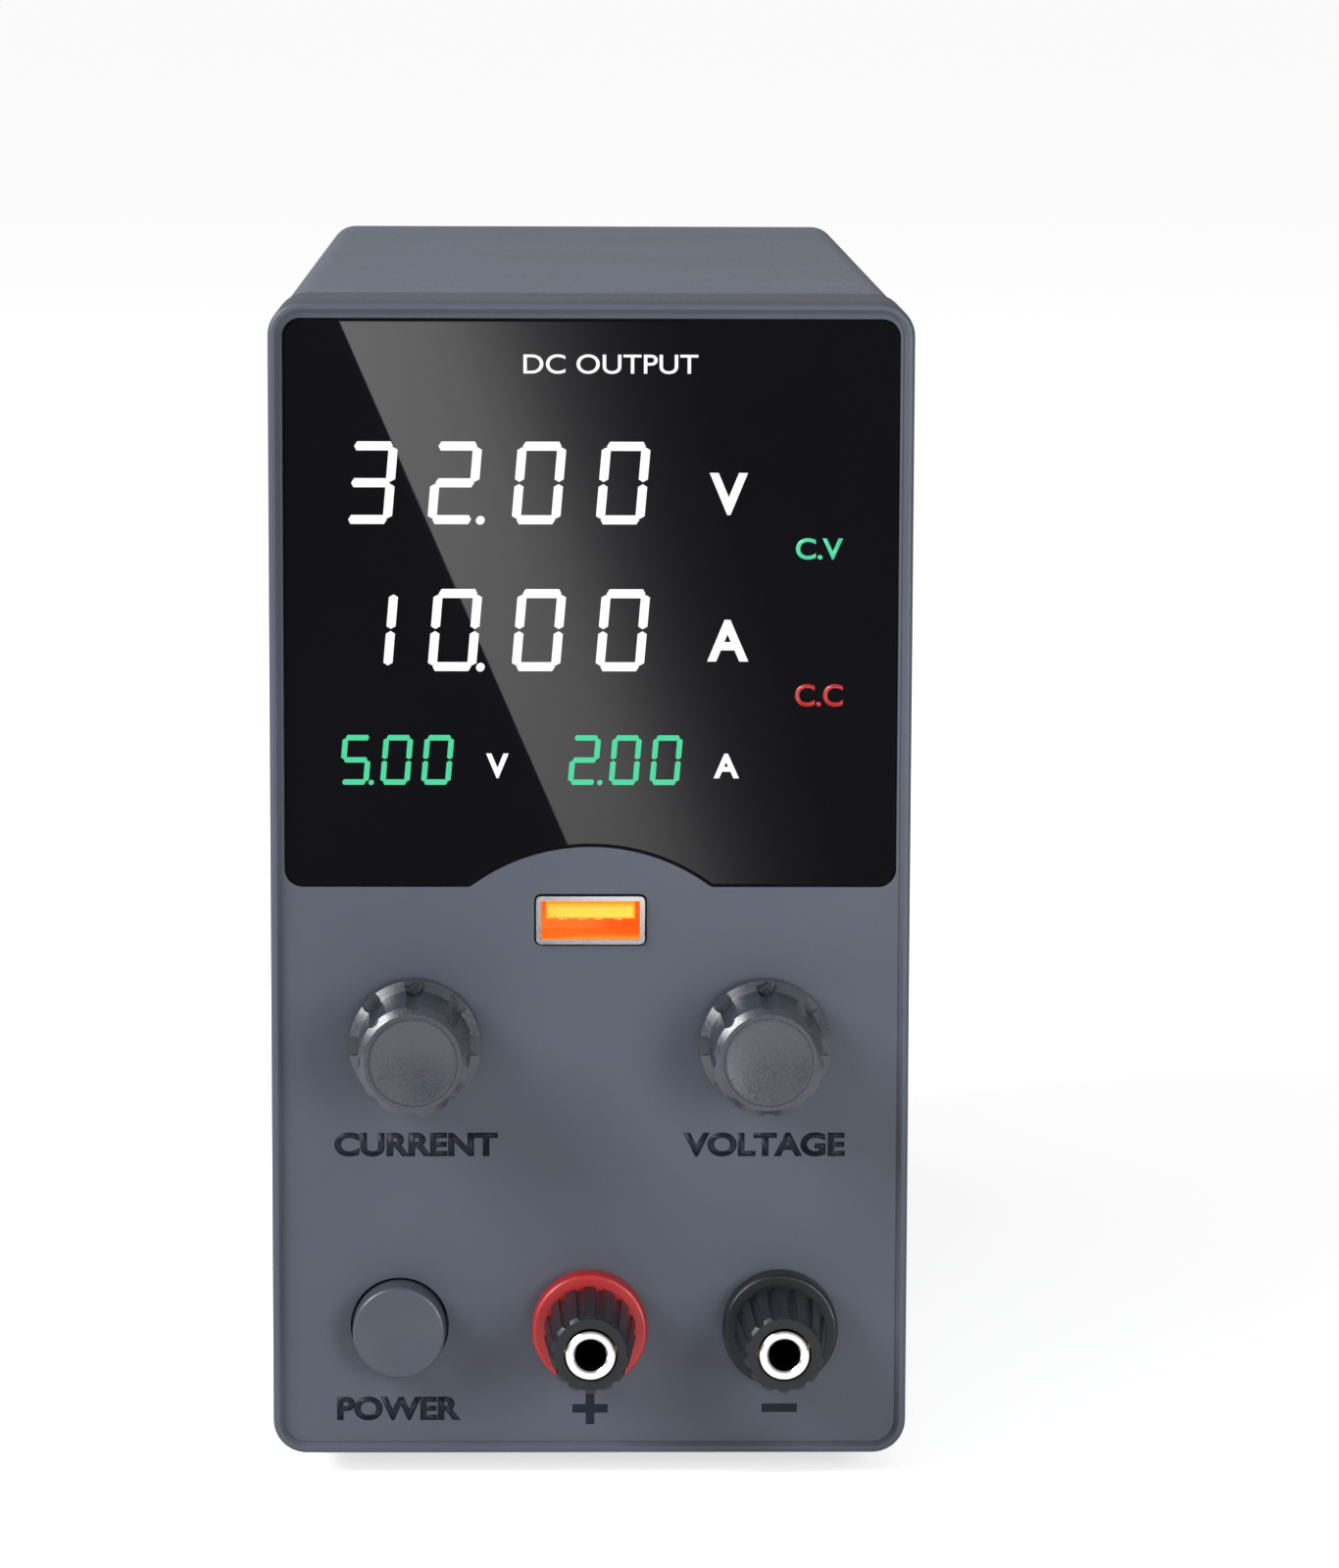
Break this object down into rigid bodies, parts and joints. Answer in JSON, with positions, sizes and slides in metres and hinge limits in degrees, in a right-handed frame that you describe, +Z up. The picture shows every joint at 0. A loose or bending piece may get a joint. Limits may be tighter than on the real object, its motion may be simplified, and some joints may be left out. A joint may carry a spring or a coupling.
{
  "type": "bench power supply",
  "caption": "Upright bench power supply with a dark display window, two knobs, a power button, two binding posts, a charging outlet and a rear fan.",
  "frame": {"origin": "centre of the bounding box in plan, at the plane the feet rest on", "axes": "+Z up, -Y the way the front panel faces, +X to the right seen from the front"},
  "size_m": [0.08, 0.2242, 0.1486],
  "materials": {
    "panel_grey": "fine matt texture",
    "cover_paint": "fine textured powder coat",
    "window_black": "polished smoked sheet",
    "knob_black": "satin moulding",
    "red_plastic": "moulded",
    "black_plastic": "moulded",
    "bright_metal": "nickel plated",
    "steel": "zinc plated",
    "brass": "turned",
    "gold": "gold flashed",
    "board_green": "solder mask",
    "module_white": "moulded light boxes",
    "usb_orange": "moulded insulator",
    "aluminium": "extruded",
    "ferrite": "sintered ferrite",
    "winding_tape": "wound and taped",
    "can_sleeve": "shrunk sleeve",
    "copper": "enamelled copper wire",
    "wire_red": "soft sleeve",
    "wire_brown": "soft sleeve",
    "ribbon_grey": "soft flat cable",
    "rubber": "moulded rubber",
    "fuse_glass": "glass tube",
    "selector_red": "moulded"
  },
  "bodies": {
    "case": {"front_panel": "panel_grey", "front_frame": "panel_grey", "display_window": "window_black", "voltage_digits": "module_white", "current_digits": "module_white", "charging_digits": "module_white", "mode_lamps": "module_white", "display_board": "board_green", "usb_shell": "bright_metal", "usb_tongue": "usb_orange", "usb_contacts": "gold", "control_board": "board_green", "potentiometers": "steel", "pot_nuts": "steel", "switch_plate": "steel", "switch_body": "black_plastic", "plus_collar": "red_plastic", "plus_stud": "bright_metal", "minus_collar": "black_plastic", "minus_stud": "bright_metal", "rear_insulators": "black_plastic", "post_nuts": "brass", "post_lugs": "bright_metal", "top_cover": "cover_paint", "chassis_base": "cover_paint", "feet": "rubber", "rear_panel": "cover_paint", "fan_frame": "black_plastic", "inlet_body": "black_plastic", "inlet_pins": "bright_metal", "selector_body": "black_plastic", "main_board": "board_green", "standoffs": "brass", "heat_sinks": "aluminium", "power_chips": "black_plastic", "transformer_core": "ferrite", "transformer_winding": "winding_tape", "mains_capacitors": "can_sleeve", "output_capacitors": "can_sleeve", "output_choke": "copper", "mains_leads": "wire_brown", "output_leads": "wire_red", "ribbon_cable": "ribbon_grey", "mains_filter": "ferrite"},
    "current_knob_unit": {"current_knob": "knob_black", "current_knob_cap": "knob_black", "current_shaft": "steel"},
    "voltage_knob_unit": {"voltage_knob": "knob_black", "voltage_knob_cap": "knob_black", "voltage_shaft": "steel"},
    "power_button_unit": {"power_button": "knob_black", "switch_plunger": "module_white"},
    "plus_thread": {"plus_insert": "brass"},
    "plus_grip": {"plus_cap": "black_plastic"},
    "minus_thread": {"minus_insert": "brass"},
    "minus_grip": {"minus_cap": "black_plastic"},
    "fan_wheel": {"fan_rotor": "black_plastic"},
    "selector_key": {"selector_slider": "selector_red"},
    "fuse_holder": {"fuse_drawer": "black_plastic", "fuse": "fuse_glass"}
  },
  "joints": [
    {"name": "current_knob_turn", "type": "hinge", "parent": "case", "child": "current_knob_unit", "pos_m": [-0.02195, -0.10955, 0.05578], "axis": [0, 1, 0], "range_deg": [-150, 150]},
    {"name": "voltage_knob_turn", "type": "hinge", "parent": "case", "child": "voltage_knob_unit", "pos_m": [0.02195, -0.10955, 0.05578], "axis": [0, 1, 0], "range_deg": [-150, 150]},
    {"name": "power_button_press", "type": "slide", "parent": "case", "child": "power_button_unit", "axis": [0, 1, 0], "range_m": [0, 0.003], "stiffness_N_per_m": 700},
    {"name": "plus_cap_travel", "type": "slide", "parent": "case", "child": "plus_thread", "axis": [0, -1, 0], "range_m": [0, 0.004]},
    {"name": "plus_cap_turn", "type": "hinge", "parent": "plus_thread", "child": "plus_grip", "pos_m": [0, -0.09875, 0.0194], "axis": [0, -1, 0], "range_deg": [0, 1440]},
    {"name": "minus_cap_travel", "type": "slide", "parent": "case", "child": "minus_thread", "axis": [0, -1, 0], "range_m": [0, 0.004]},
    {"name": "minus_cap_turn", "type": "hinge", "parent": "minus_thread", "child": "minus_grip", "pos_m": [0.024, -0.09875, 0.0194], "axis": [0, -1, 0], "range_deg": [0, 1440]},
    {"name": "fan_spin", "type": "hinge", "parent": "case", "child": "fan_wheel", "pos_m": [0, 0.09365, 0.11555], "axis": [0, 1, 0], "continuous": true},
    {"name": "selector_slide", "type": "slide", "parent": "case", "child": "selector_key", "axis": [-1, 0, 0], "range_m": [0, 0.0048]},
    {"name": "fuse_drawer_pull", "type": "slide", "parent": "case", "child": "fuse_holder", "axis": [0, 1, 0], "range_m": [0, 0.012]}
  ],
  "couplings": [
    {"joint": "plus_cap_turn", "follows": "plus_cap_travel", "rad_per_m": 6283.2},
    {"joint": "minus_cap_turn", "follows": "minus_cap_travel", "rad_per_m": 6283.2}
  ]
}
